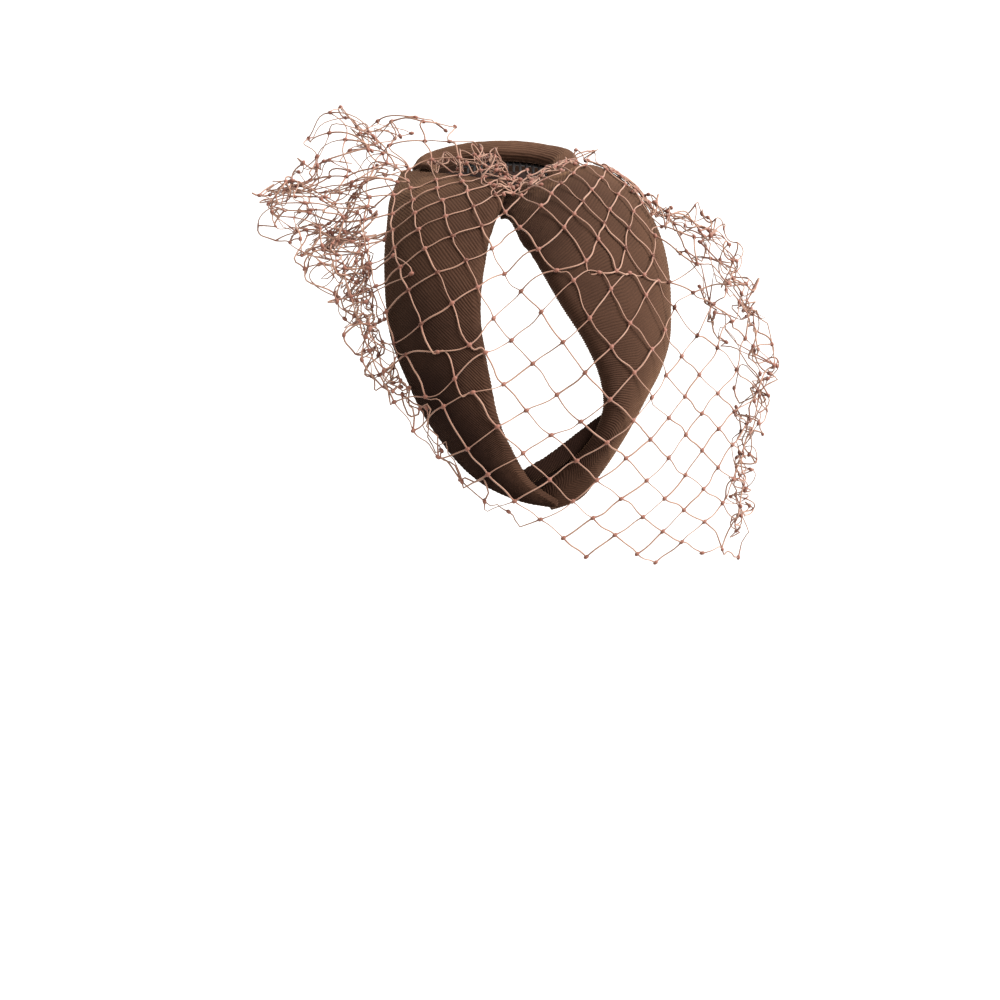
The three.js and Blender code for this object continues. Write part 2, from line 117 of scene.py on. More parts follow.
BAND_COLUMNS = (
    "outer_across", "outer_along", "inner_across", "inner_along",
    "outer_lift", "inner_lift", "bulge", "fold",
)
LEFT_PETAL_ROWS = (
    (-0.37, 0.59, -0.012, 0.385, 0.42, 0.46, -0.14, 0.10),
    (-0.42, 0.46, -0.042, 0.305, 0.20, 0.55, 0.14, 0.40),
    (-0.43, 0.33, -0.082, 0.22, 0.14, 0.55, 0.30, 1.00),
    (-0.433, 0.20, -0.112, 0.13, 0.13, 0.58, 0.30, 1.00),
    (-0.428, 0.10, -0.13, 0.035, 0.13, 0.58, 0.28, 1.00),
    (-0.415, 0.01, -0.127, -0.04, 0.13, 0.56, 0.26, 1.00),
    (-0.375, -0.08, -0.115, -0.105, 0.13, 0.53, 0.24, 1.00),
    (-0.32, -0.175, -0.10, -0.185, 0.14, 0.50, 0.20, 0.90),
    (-0.24, -0.265, -0.073, -0.24, 0.18, 0.47, 0.14, 0.70),
    (-0.15, -0.322, -0.041, -0.289, 0.31, 0.50, 0.08, 0.40),
    (-0.04, -0.356, -0.006, -0.324, 0.46, 0.50, 0.03, 0.10),
    (0.068, -0.378, 0.074, -0.367, 0.38, 0.38, 0.00, 0.06),
)
# A petal's cut: the sizes in millimetres that its rows are shares of, and the share of its width
# that is turned under.
PETAL_CUT = {
    "seat": LOOP_SEAT, "width": LOOP_WIDTH, "length": LOOP_LENGTH,
    "rise": 16.0, "fold": 3.4, "turn_under": 0.62,
}


def band_spot(rows, cut, station, step, lean):
    """A point on the cloth. Step runs 0 to 1 over the top, to 2 round the roll, to 3 underneath.

    Lean turns round the cloth's own edge: 0 is the outside and half a turn is the inside."""
    row = dict(zip(BAND_COLUMNS, np.moveaxis(row_at(rows, station), -1, 0)))
    outer = np.stack([row["outer_across"] * cut["width"], row["outer_along"] * cut["length"]], -1)
    inner = np.stack([row["inner_across"] * cut["width"], row["inner_along"] * cut["length"]], -1)
    outer_lift, inner_lift = row["outer_lift"] * cut["rise"], row["inner_lift"] * cut["rise"]
    bulge = 4 * row["bulge"] * cut["rise"]
    width = np.linalg.norm(inner - outer, axis=-1)
    half = CLOTH_WALL / 2
    fold = cut["fold"] * row["fold"] + CLOTH_WALL
    top_width = width - fold / 2 - half

    def top(share):
        """The middle of the top's wall, and which way is up from it, at a share across."""
        lift =outer_lift + (inner_lift - outer_lift) * share + bulge * share * (1 - share) - half
        slope = (inner_lift - outer_lift + bulge * (1 - 2 * share)) / top_width
        upright = np.stack([-slope, np.ones_like(slope)], -1)
        upright /= np.linalg.norm(upright, axis=-1)[..., None]
        return np.stack([top_width * share, lift], -1), upright

    share = np.where(step <= 1, step, np.where(step < 2, 1.0, 1 - cut["turn_under"] * (step - 2)))
    middle, upright = top(share)
    turn = np.arctan2(upright[..., 1], upright[..., 0]) - np.pi * np.clip(step - 1, 0, 1)
    out = np.stack([np.cos(turn), np.sin(turn)], -1)
    middle = middle - upright * (fold / 2)[..., None] * (step > 1)[..., None]
    middle = middle + out * (fold / 2)[..., None] * (step > 1)[..., None]
    onward = np.stack([out[..., 1], -out[..., 0]], -1)
    # The wall thins to a round end over its last half thickness
    rest = np.minimum(station, 1 - station) * cut["length"] / half
    thin = np.sqrt(np.clip(1 - (1 - np.clip(rest, 0, 1)) ** 2, 0, 1)) * half
    middle = middle + out * (np.cos(lean) * thin)[..., None]
    middle = middle + onward * (np.sin(lean) * thin)[..., None]
    place = (middle[..., 0] / width)[..., None]
    spot = outer + (inner - outer) * place
    return seat_points(cut["seat"], spot[..., 0], spot[..., 1], middle[..., 1])


def store_numbers(mesh, numbers):
    """Stores each named table of numbers at the points of a mesh."""
    for label, values in numbers.items():
        mesh.attributes.new(label, "FLOAT", "POINT").data.foreach_set("value", np.ravel(values))


def placed(name, mesh):
    """Puts a mesh into the scene as a piece."""
    piece = bpy.data.objects.new(name, mesh)
    scene.collection.objects.link(piece)
    return piece


def ringed_mesh(name, rings, numbers):
    """A closed skin through rings of points, with an attribute for each table of numbers."""
    count, size = rings.shape[:2]
    grid = np.arange(count * size).reshape(count, size)
    beside = np.roll(grid, -1, axis=1)
    faces = np.stack([grid[:-1], beside[:-1], beside[1:], grid[1:]], -1).reshape(-1, 4)
    mesh = bpy.data.meshes.new(name)
    mesh.from_pydata((rings.reshape(-1, 3) * MM).tolist(), [], faces.tolist())
    store_numbers(mesh, numbers)
    work = bmesh.new()
    work.from_mesh(mesh)
    bmesh.ops.remove_doubles(work, verts=work.verts, dist=0.002 * MM)
    bmesh.ops.holes_fill(work, edges=[edge for edge in work.edges if edge.is_boundary])
    bmesh.ops.recalc_face_normals(work, faces=work.faces)
    work.to_mesh(mesh)
    work.free()
    mesh.shade_smooth()
    return placed(name, mesh)


def stops(top, roll, under):
    """Places across a folded band: over the top, round the roll and back underneath."""
    return np.concatenate([
        np.linspace(0, 1, top, endpoint=False),
        np.linspace(1, 2, roll, endpoint=False),
        np.linspace(2, 3, under),
    ])


def ring_places(steps):
    """The way round the cloth's section: outside, round the edge, inside, round the other edge."""
    edge = np.radians([45.0, 90.0, 135.0])
    step = np.concatenate([steps, np.full(3, 3.0), steps[::-1], np.zeros(3)])
    lean = np.concatenate([
        np.zeros_like(steps), edge, np.full_like(steps, np.pi), edge + np.pi,
    ])
    return step, lean


def along_step(step, width, roll, under):
    """How far across the cloth each step is, in millimetres over its surface."""
    return np.interp(step, [0, 1, 2, 3], [0, width, width + roll, width + roll + under])


def slant_ribbed_band(name, rows, cut, length, width, drift, light_and_shade_rows):
    """A folded band whose ribs cross it. Drift is how far a rib moves along it, by the width."""
    step, lean = ring_places(stops(*PETAL_STOPS))
    reach = along_step(step, width, PETAL_ROLL, width * cut["turn_under"])
    move = np.interp(reach, *drift) / length
    spacing = RIB_PITCH / math.cos(math.atan2(drift[1][-1] - drift[1][0], drift[0][-1]))
    count = int((1 + move.max() - move.min()) * length / spacing * RIB_SAMPLES)
    start = np.linspace(-move.max(), 1 - move.min(), count)
    station = np.clip(start[:, None] + move[None, :], 0, 1)
    phase = np.broadcast_to((np.arange(count) / RIB_SAMPLES)[:, None], station.shape)
    outside = np.clip(np.cos(lean), 0, 1)
    ends = np.clip(np.minimum(station, 1 - station) * length / RIB_FADE, 0, 1)
    # Painted light and shade from the table, standing in for the cloth's sheen and for where light
    # falls.
    place, outer_light_and_shade, inner_light_and_shade = np.array(light_and_shade_rows).T
    share = np.clip(step, 0, 1) ** 2
    painted_light_and_shade = np.interp(station, place, outer_light_and_shade) * (1 - share)
    painted_light_and_shade = painted_light_and_shade + np.interp(station, place, inner_light_and_shade) * share
    bold = RIB_BOLDNESS + RIB_BOLDNESS_GAIN * share ** 2
    return ringed_mesh(name, band_spot(rows, cut, station, step, lean), {
        "rib_place": phase, "rib_share": outside * ends * bold, "painted_light_and_shade": painted_light_and_shade,
    })


def node_tree(name, inputs):
    """A new geometry tree with named inputs, and a function that adds and links its nodes."""
    tree = bpy.data.node_groups.new(name, "GeometryNodeTree")
    tree.interface.new_socket("Geometry", in_out="INPUT", socket_type="NodeSocketGeometry")
    for label, kind in inputs:
        tree.interface.new_socket(label, in_out="INPUT", socket_type=kind)
    tree.interface.new_socket("Geometry", in_out="OUTPUT", socket_type="NodeSocketGeometry")
    return tree, wiring(tree)


def wiring(tree):
    """A function that adds a node, sets its properties, and links or sets its inputs."""
    def add(kind, feeds=(), **settings):
        node = tree.nodes.new(kind)
        for label, value in settings.items():
            setattr(node, label, value)
        for place, source in dict(feeds).items():
            if isinstance(source, bpy.types.NodeSocket):
                tree.links.new(source, node.inputs[place])
            else:
                node.inputs[place].default_value = source
        return node
    return add


def noise(add, where, scale, detail=1.0):
    """A smooth uneven value by place, about 0.5."""
    return add("ShaderNodeTexNoise", {"Vector": where, "Scale": scale, "Detail": detail}).outputs[0]


def ranged(add, value, low, high, least, most):
    """A value between low and high, moved to between least and most."""
    feeds = {"Value": value, 1: low, 2: high, 3: least, 4: most}
    return add("ShaderNodeMapRange", feeds).outputs[0]


def worked_out(add, operation, *values, **settings):
    """The result of a sum on one or two values."""
    return add("ShaderNodeMath", enumerate(values), operation=operation, **settings).outputs[0]


def blend(add, share, first, second):
    """A colour between two others."""
    feeds = {0: share, 6: first, 7: second}
    return add("ShaderNodeMix", feeds, data_type="RGBA").outputs[2]


def stored(add, label, kind="FLOAT"):
    """What is stored under a name at each point."""
    return add("GeometryNodeInputNamedAttribute", {"Name": label}, data_type=kind).outputs[0]


def painted_end(add, given, shape):
    """Ends a node tree: smooth, real geometry in its material."""
    smooth = add("GeometryNodeSetShadeSmooth", {0: shape}).outputs[0]
    real = add("GeometryNodeRealizeInstances", {"Geometry": smooth}).outputs[0]
    painted = add("GeometryNodeSetMaterial", {"Geometry": real, "Material": given["Material"]})
    add("NodeGroupOutput", {"Geometry": painted.outputs[0]})


def run_tree(piece, tree, inputs):
    """Runs a node tree on a piece with its named inputs, and keeps the result as a plain mesh."""
    modifier = piece.modifiers.new(tree.name, "NODES")
    modifier.node_group = tree
    for item in tree.interface.items_tree:
        if item.item_type == "SOCKET" and item.in_out == "INPUT" and item.name in inputs:
            modifier[item.identifier] = inputs[item.name]
    graph = bpy.context.evaluated_depsgraph_get()
    graph.update()
    mesh = bpy.data.meshes.new_from_object(piece.evaluated_get(graph))
    piece.modifiers.clear()
    piece.data = mesh


# Ribs stand up from the smooth skin by a rounded wave, uneven by a slow noise.
rib_tree, add = node_tree("cloth ribs", [
    ("Rib height", "NodeSocketFloat"), ("Buckle", "NodeSocketFloat"),
    ("Material", "NodeSocketMaterial"),
])
given = add("NodeGroupInput").outputs
where = add("GeometryNodeInputPosition").outputs[0]
place = worked_out(add, "ADD", stored(add, "rib_place"), noise(add, where, 330.0))
wave = worked_out(add, "COSINE", worked_out(add, "MULTIPLY", place, math.pi))
wave = worked_out(add, "ABSOLUTE", wave)
ridge = worked_out(add, "MULTIPLY", wave, stored(add, "rib_share"))
uneven = ranged(add, noise(add, where, 420.0), 0.3, 0.7, 0.55, 1.15)
lift = worked_out(add, "MULTIPLY", ridge, uneven)
lift = worked_out(add, "MULTIPLY", lift, given["Rib height"])
slow = worked_out(add, "SUBTRACT", noise(add, where, 45.0), 0.5)
slow = worked_out(add, "MULTIPLY", slow, given["Buckle"])
lift = worked_out(add, "ADD", lift, slow)
normal = add("GeometryNodeInputNormal").outputs[0]
offset = add("ShaderNodeVectorMath", {0: normal, "Scale": lift}, operation="SCALE").outputs[0]
moved = add("GeometryNodeSetPosition", {"Geometry": given["Geometry"], "Offset": offset}).outputs[0]
marked = add(
    "GeometryNodeStoreNamedAttribute", {"Geometry": moved, "Name": "rib", "Value": ridge},
    data_type="FLOAT", domain="POINT",
).outputs[0]
painted_end(add, given, marked)


def node_material(name):
    """A new material without nodes, and a function that adds and links its nodes."""
    material = bpy.data.materials.new(name)
    material.use_nodes = True
    material.node_tree.nodes.clear()
    return material, wiring(material.node_tree)


# The cloth is a warm dark brown. Painted shade darkens it between its ribs, and painted light and
# shade from each band's table stand in for its sheen and for where light falls.
ribbed_cloth, add = node_material("ribbed_cloth")
coords = add("ShaderNodeTexCoord").outputs["Object"]
rib = add("ShaderNodeAttribute", attribute_name="rib").outputs["Fac"]
painted_light_and_shade = add("ShaderNodeAttribute", attribute_name="painted_light_and_shade").outputs["Fac"]
patches = ranged(add, noise(add, coords, 38.0, 3.0), 0.3, 0.7, -0.2, 0.2)
# The brown is painted lighter or darker by that painted light and shade, and by random patches.
painted_light_and_patches = worked_out(add, "ADD", painted_light_and_shade, patches, use_clamp=True)
threads = noise(add, coords, 2600.0, 2.0)
brown_with_painted_light = blend(add, painted_light_and_patches, (0.0135, 0.0047, 0.0025, 1), (0.050, 0.0225, 0.0122, 1))
speckle = ranged(add, threads, 0.3, 0.7, 0.8, 1.2)
# Painted shade between the ribs, faded in places.
painted_groove_shade = ranged(add, rib, 0.0, 1.0, 0.52, 1.10)
groove_shade_fade = ranged(add, noise(add, coords, 70.0), 0.35, 0.65, 0.15, 0.85)
painted_groove_shade = add("ShaderNodeMix", {0: groove_shade_fade, 2: painted_groove_shade, 3: 0.95}).outputs[0]
# Thread speckle times the painted shade between the ribs.
depth = worked_out(add, "MULTIPLY", speckle, painted_groove_shade)
shade = add("ShaderNodeVectorMath", {0: brown_with_painted_light, "Scale": depth}, operation="SCALE").outputs[0]
bump = add(
    "ShaderNodeBump", {"Strength": 0.35, "Distance": 0.00012, "Height": threads},
).outputs[0]
# No sheen where the cloth has its darkest painted shade.
sheen = ranged(add, painted_light_and_shade, -1.0, 0.0, 0.0, 0.35)
cloth_shader = add("ShaderNodeBsdfPrincipled", {
    "Base Color": shade, "Roughness": 0.9, "Normal": bump, "Sheen Weight": sheen,
    "Sheen Roughness": 0.35, "Sheen Tint": (0.75, 0.41, 0.23, 1), "Specular IOR Level": 0.1,
}).outputs[0]
add("ShaderNodeOutputMaterial", {"Surface": cloth_shader})


def clothed(piece, rib_height, buckle):
    """Gives a band its ribs, its slow unevenness and its cloth."""
    run_tree(piece, rib_tree, {
        "Rib height": rib_height * MM, "Buckle": buckle * MM, "Material": ribbed_cloth,
    })
    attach(piece, "root")
    return piece


LEFT_LENGTH = 150.0
LEFT_WIDTH = 38.0
# Distances across the cloth, and how far a rib has moved along it there.
LEFT_RIB_DRIFT = ([0, 38, 75], [0, 36, 60])
# Painted light and shade on the cloth, standing in for its sheen and for where light falls, dark
# at 0 and light at 1: place along, outer edge, inner edge.
LEFT_LIGHT_AND_SHADE_ROWS = (
    (0.0, 0.65, 0.7), (0.2, 0.65, 0.75), (0.4, 0.35, 0.5), (0.62, -0.1, 0.4), (0.8, -0.1, 0.7),
    (1.0, 0.3, 0.5),
)
left_petal = clothed(slant_ribbed_band(
    "left_petal_cloth", LEFT_PETAL_ROWS, PETAL_CUT, LEFT_LENGTH, LEFT_WIDTH, LEFT_RIB_DRIFT,
    LEFT_LIGHT_AND_SHADE_ROWS,
), FLAT_RIB_HEIGHT, PETAL_BUCKLE)
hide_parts("left_petal")


# Right petal
# The wider band of the loop, of the same cloth. Its inner edge is rolled, and it stands well off
# the head. The ribs cross it nearly level.
RIGHT_PETAL_ROWS = (
    (-0.035, 0.370, -0.047, 0.300, 0.22, 0.24, 0.00, 0.08),
    (0.04, 0.405, -0.02, 0.28, 0.30, 0.36, 0.04, 0.20),
    (0.17, 0.44, 0.00, 0.20, 0.38, 0.57, 0.20, 0.70),
    (0.34, 0.50, 0.02, 0.16, 0.45, 0.68, 0.40, 1.00),
    (0.495, 0.47, 0.042, 0.115, 0.28, 0.76, 0.44, 1.00),
    (0.55, 0.35, 0.07, 0.065, 0.18, 0.82, 0.36, 1.00),
    (0.54, 0.21, 0.10, 0.02, 0.15, 0.84, 0.28, 1.00),
    (0.51, 0.085, 0.141, -0.030, 0.14, 0.82, 0.24, 1.00),
    (0.485, 0.00, 0.172, -0.076, 0.14, 0.79, 0.22, 1.00),
    (0.435, -0.078, 0.193, -0.118, 0.14, 0.75, 0.18, 0.90),
    (0.365, -0.157, 0.205, -0.163, 0.14, 0.69, 0.12, 0.80),
    (0.29, -0.24, 0.195, -0.207, 0.14, 0.59, 0.08, 0.60),
    (0.218, -0.31, 0.159, -0.252, 0.16, 0.45, 0.05, 0.30),
    (0.148, -0.367, 0.106, -0.291, 0.20, 0.31, 0.03, 0.10),
    (0.05, -0.390, 0.022, -0.350, 0.23, 0.23, 0.00, 0.08),
)
# Painted light and shade of the right petal, in the same columns as the left petal's.
RIGHT_LIGHT_AND_SHADE_ROWS = (
    (0.0, 0.3, 0.3), (0.2, 0.65, 0.3), (0.35, 1.0, 0.4), (0.55, 1.0, 0.5), (0.8, 1.1, 0.4),
    (1.0, 0.6, 0.4),
)
RIGHT_LENGTH = 170.0
RIGHT_WIDTH = 44.0
RIGHT_RIB_DRIFT = ([0, 30, 52, 80], [0, 8, 5, -4])
right_petal = clothed(slant_ribbed_band(
    "right_petal_cloth", RIGHT_PETAL_ROWS, PETAL_CUT, RIGHT_LENGTH, RIGHT_WIDTH, RIGHT_RIB_DRIFT,
    RIGHT_LIGHT_AND_SHADE_ROWS,
), FLAT_RIB_HEIGHT, PETAL_BUCKLE)
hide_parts("right_petal")


# Fold inside the loop
# A strip of the same cloth that is turned under and shows inside the lower right of the loop.
FOLD_WIDTH = 5.6
FOLD_THICKNESS = 2.4
UNDER_FOLD_ROWS = (
    (-0.035, -0.322, 0.02),
    (0.05, -0.290, 0.02),
    (0.12, -0.257, 0.02),
    (0.175, -0.228, 0.04),
    (0.225, -0.203, 0.07),
    (0.265, -0.183, 0.09),
)
FOLD_RINGS = 240
FOLD_SIDES = 20
FOLD_SLANT = 0.10          # how far a rib slants along the strip, as a share of its length
FOLD_TAPER = 0.04          # share of its length in which the strip thins to an end
# Painted light and shade of the strip.
FOLD_LIGHT_AND_SHADE = 0.15
FOLD_BUCKLE = 0.4
SHORT_WAY = 0.02           # share of the strip's length that its direction is taken over


def strip_heading(station):
    """The direction that the strip runs in, across and along the seat."""
    ahead = row_at(UNDER_FOLD_ROWS, station + SHORT_WAY)
    behind = row_at(UNDER_FOLD_ROWS, station - SHORT_WAY)
    heading = (ahead - behind)[..., :2] * (LOOP_WIDTH, LOOP_LENGTH)
    return heading / np.linalg.norm(heading, axis=-1)[..., None]


turns = np.linspace(0, 2 * np.pi, FOLD_SIDES, endpoint=False)
starts = np.linspace(-FOLD_SLANT, 1 + FOLD_SLANT, FOLD_RINGS)
station = np.clip(starts[:, None] + FOLD_SLANT * np.cos(turns)[None, :], 0, 1)
row = row_at(UNDER_FOLD_ROWS, station)
heading = strip_heading(station)
end_taper = np.sqrt(np.clip(np.minimum(station, 1 - station) / FOLD_TAPER, 0, 1))
out = np.cos(turns) * FOLD_WIDTH / 2 * end_taper
rings = seat_points(
    LOOP_SEAT,
    row[..., 0] * LOOP_WIDTH - heading[..., 1] * out,
    row[..., 1] * LOOP_LENGTH + heading[..., 0] * out,
    row[..., 2] * PETAL_CUT["rise"] + FOLD_THICKNESS / 2 * (1 + np.sin(turns) * end_taper),
)
under_fold = clothed(ringed_mesh("under_fold_cloth", rings, {
    "rib_place": np.broadcast_to((np.arange(FOLD_RINGS) / RIB_SAMPLES)[:, None], station.shape),
    "rib_share": end_taper, "painted_light_and_shade": np.full(station.shape, FOLD_LIGHT_AND_SHADE),
}), RIB_HEIGHT, FOLD_BUCKLE)
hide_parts("right_under_fold")

# The strip's cloth runs on under the right petal, as the floor of the valley between them, with
# painted shade that makes it dark.
VALLEY_WIDTH = 9.5
VALLEY_WALL = 0.5
VALLEY_LIFT = 0.25
VALLEY_STATIONS = 60
VALLEY_COLUMNS = 12
VALLEY_START = 0.15        # share of its width that the strip already covers
VALLEY_REACH_ROWS = (      # place along the strip, reach as a share of the valley's width
    (0.02, 0.95), (0.12, 1.0), (0.5, 0.95), (0.82, 0.7),
)


def painted_shade_cloth(name, rings):
    """Thin cloth in deep shadow: smooth, with the darkest painted shade and no sheen."""
    shape = rings.shape[:2]
    return clothed(ringed_mesh(name, rings, {
        "rib_place": np.zeros(shape), "rib_share": np.zeros(shape), "painted_light_and_shade": np.full(shape, -1.0),
    }), 0.0, 0.0)


reach_places, reaches = np.array(VALLEY_REACH_ROWS).T
station = np.linspace(reach_places[0], reach_places[-1], VALLEY_STATIONS)
outward = np.linspace(VALLEY_START, 1, VALLEY_COLUMNS)
way_across = np.concatenate([outward, outward[::-1]])
way_up = np.repeat([1.0, 0.0], VALLEY_COLUMNS)
row = row_at(UNDER_FOLD_ROWS, station)
heading = strip_heading(station)
reach = np.interp(station, reach_places, reaches) * VALLEY_WIDTH
out = reach[:, None] * way_across
valley = painted_shade_cloth("under_fold_valley", seat_points(
    LOOP_SEAT,
    row[:, :1] * LOOP_WIDTH + heading[:, 1:] * out,
    row[:, 1:2] * LOOP_LENGTH - heading[:, :1] * out,
    VALLEY_LIFT + VALLEY_WALL * way_up + row[:, 2:] * PETAL_CUT["rise"] * (1 - way_across),
))
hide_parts("right_under_fold")


# Seam of the petals
# Where the petals meet at the rear, their cloth is sewn together and lies flat on the head. It is
# painted dark as shade where it reaches back into the hollow by the comb.
SEAM_RINGS = 24
SEAM_COLUMNS = 20
SEAM_FRONT = 50.0
SEAM_LIFTS = (0.9, 0.3)    # top and underside
SEAM_BACK_ROWS = (         # across, and how far back the cloth reaches there
    (-31, 91.0), (-21, 93.0), (-15, 84.0), (19, 84.0), (26, 77.0),
)
back_across, back_along = np.array(SEAM_BACK_ROWS).T
rightward = np.linspace(back_across[0], back_across[-1], SEAM_COLUMNS)
seam_across = np.concatenate([rightward, rightward[::-1]])
seam_depth = np.interp(seam_across, back_across, back_along) - SEAM_FRONT
seam_along = SEAM_FRONT + seam_depth * np.linspace(0, 1, SEAM_RINGS)[:, None]
seam = painted_shade_cloth("petal_seam_cloth", seat_points(
    LOOP_SEAT, seam_across, seam_along, np.repeat(SEAM_LIFTS, SEAM_COLUMNS),
))
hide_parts("left_petal")


# Back band
# An arched band of the same cloth, behind the loop. Its ribs run along it, and its inner edge is
# rolled over the comb.
BAND_WIDTH = 76.0
BAND_DEPTH = 50.0
BAND_RISE = 12.0
BAND_FOLD = 2.2
BAND_GAP = 0.4             # between the band's ends and the petals' cloth
BAND_TUCK = 3.0            # how far its right end reaches under the right petal
BAND_LEFT_END = (0.12, 0.32)   # shares of the left petal's width that its left end lies behind
BAND_STATIONS = 70
BAND_STOPS = (130, 34, 84)
BAND_LENGTHS = (24.0, 6.0, 15.0)   # cloth over the top, round the roll and underneath
# Painted light and shade of the back band.
BAND_LIGHT_AND_SHADE = 0.9
BAND_BUCKLE = 0.5
BAND_OVER_COMB = 0.50
BACK_BAND_ROWS = [
    (-0.43, 0.46, -0.30, 0.14, 0.20, BAND_OVER_COMB, 0.30, 0.35),
    (-0.30, 0.76, -0.17, 0.20, 0.14, BAND_OVER_COMB, 0.40, 0.35),
    (0.00, 0.88, 0.00, 0.17, 0.14, BAND_OVER_COMB, 0.42, 0.35),
    (0.29, 0.78, 0.15, 0.14, 0.14, BAND_OVER_COMB, 0.42, 0.35),
    (0.41, 0.50, 0.24, 0.05, 0.14, BAND_OVER_COMB, 0.42, 0.35),
    (0.40, 0.20, 0.25, -0.08, 0.22, BAND_OVER_COMB, 0.26, 0.35),
    (0.39, -0.02, 0.235, -0.24, 0.30, 0.40, 0.05, 0.20),
]
CROWN_SEAT = seat_frame(0.0, 0.0)
BAND_CUT = {
    "seat": CROWN_SEAT, "width": BAND_WIDTH, "length": BAND_DEPTH,
    "rise": BAND_RISE, "fold": BAND_FOLD, "turn_under": 0.62,
}


def crown_shares(across, along):
    """A place in the loop's seat frame as shares of the band's width and depth."""
    point = seat_points(LOOP_SEAT, np.array([across]), np.array([along]), np.array([0.0]))[0]
    point[2] += SEAT_RADIUS
    reach = SEAT_RADIUS * math.acos(point[2] / SEAT_RADIUS)
    scale = reach / math.hypot(point[0], point[1])
    return point[0] * scale / BAND_WIDTH, point[1] * scale / BAND_DEPTH


def petal_rear(row, share, behind):
    """A place on a petal's row, at a share from its outer to its inner edge, moved backwards."""
    across = row[0] + (row[2] - row[0]) * share
    along = row[1] + (row[3] - row[1]) * share
    return crown_shares(across * LOOP_WIDTH, along * LOOP_LENGTH + behind)


def band_end(outer, inner, lift):
    """A row for an end of the band: nearly flat, with a small fold."""
    return (*outer, *inner, lift / BAND_RISE, lift / BAND_RISE, 0.04, 0.2)


left_row = LEFT_PETAL_ROWS[0]
rear_row, next_row = RIGHT_PETAL_ROWS[2:4]
BACK_BAND_ROWS.insert(0, band_end(
    *(petal_rear(left_row, share, BAND_GAP) for share in BAND_LEFT_END),
    left_row[4] * PETAL_CUT["rise"],
))
BACK_BAND_ROWS.append(band_end(
    petal_rear(next_row, 0, -BAND_TUCK), petal_rear(rear_row, 0, -BAND_TUCK),
    rear_row[4] * PETAL_CUT["rise"] - CLOTH_WALL - BAND_GAP,
))
band_steps, band_leans = ring_places(stops(*BAND_STOPS))
station = np.linspace(0, 1, BAND_STATIONS)
shape = (BAND_STATIONS, len(band_steps))
band_rings = band_spot(BACK_BAND_ROWS, BAND_CUT, station[:, None], band_steps, band_leans)
band_reach = along_step(band_steps, *BAND_LENGTHS)
band_ends = np.clip(np.minimum(station, 1 - station) * BAND_STATIONS, 0, 1)
back_band = clothed(ringed_mesh("back_band_cloth", band_rings, {
    "rib_place": np.broadcast_to(band_reach / RIB_PITCH, shape),
    "rib_share": np.clip(np.cos(band_leans), 0, 1) * band_ends[:, None],
    "painted_light_and_shade": np.full(shape, BAND_LIGHT_AND_SHADE),
}), RIB_HEIGHT, BAND_BUCKLE)
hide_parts("back_band")


# Hair comb
# Black plastic, moulded in one: a bar under the back band, and teeth that lie forward on the head.
COMB_WIDTH = 33.0
COMB_SHIFT = 1.5
COMB_BACK = 17.0
COMB_BAR_DEPTH = 4.5
COMB_TOOTH_LENGTH = 19.0
COMB_THICKNESS = 1.5
COMB_TEETH = 14
COMB_LIFT = 0.2 + COMB_THICKNESS / 2
TOOTH_ROOT = 2.0           # from the bar's back edge to where a tooth begins inside the bar
TOOTH_RUN = COMB_TOOTH_LENGTH + 2.5    # a whole tooth, with its root inside the bar
TOOTH_SHARE = 0.5          # of the pitch, the rest is the gap
TOOTH_RADIUS = 0.62
TOOTH_THINNING = 0.3       # taken off the radius towards the tip
TOOTH_POINTS = 9
TOOTH_SIDES = 10
BAR_RINGS = 40
BAR_SIDES = 20
BAR_ROUNDING = 1.5         # length of the bar's round ends

comb_plastic, add = node_material("comb_plastic")
coords = add("ShaderNodeTexCoord").outputs["Object"]
marks = noise(add, coords, 900.0, 2.0)
rough = ranged(add, marks, 0.3, 0.7, 0.38, 0.55)
tint = blend(add, marks, (0.004, 0.0035, 0.0035, 1), (0.010, 0.008, 0.008, 1))
bump = add("ShaderNodeBump", {"Strength": 0.2, "Distance": 0.00005, "Height": marks}).outputs[0]
comb_shader = add("ShaderNodeBsdfPrincipled", {
    "Base Color": tint, "Roughness": rough, "Normal": bump, "Specular IOR Level": 0.15,
}).outputs[0]
add("ShaderNodeOutputMaterial", {"Surface": comb_shader})

tooth_pitch = COMB_WIDTH / (COMB_TEETH - 1 + TOOTH_SHARE)
comb_points, comb_lines, comb_radii = [], [], []
for tooth in range(COMB_TEETH):
    across = COMB_SHIFT + (tooth + TOOTH_SHARE / 2) * tooth_pitch - COMB_WIDTH / 2
    for step in np.linspace(0, 1, TOOTH_POINTS):
        if step > 0:
            comb_lines.append((len(comb_points) - 1, len(comb_points)))
        comb_points.append((across, COMB_BACK - TOOTH_ROOT - TOOTH_RUN * step))
        comb_radii.append(TOOTH_RADIUS - TOOTH_THINNING * step ** 3)
comb_points = np.array(comb_points)
tooth_mesh = bpy.data.meshes.new("hair_comb_teeth")
tooth_places = seat_points(
    CROWN_SEAT, comb_points[:, 0], comb_points[:, 1], np.full(len(comb_points), COMB_LIFT),
)
tooth_mesh.from_pydata((tooth_places * MM).tolist(), comb_lines, [])
store_numbers(tooth_mesh, {"thickness": comb_radii})
comb_teeth = placed("hair_comb_teeth", tooth_mesh)


def rods(add, given, thickness):
    """Round rods along a piece's lines, as thick as the thickness times what their points say."""
    lines = add("GeometryNodeMeshToCurve", {"Mesh": given["Geometry"]}).outputs[0]
    circle = add(
        "GeometryNodeCurvePrimitiveCircle",
        {"Resolution": given["Sides"], "Radius": given[thickness]}, mode="RADIUS",
    ).outputs[0]
    return add("GeometryNodeCurveToMesh", {
        "Curve": lines, "Profile Curve": circle, "Scale": stored(add, "thickness"),
        "Fill Caps": True,
    }).outputs[0]


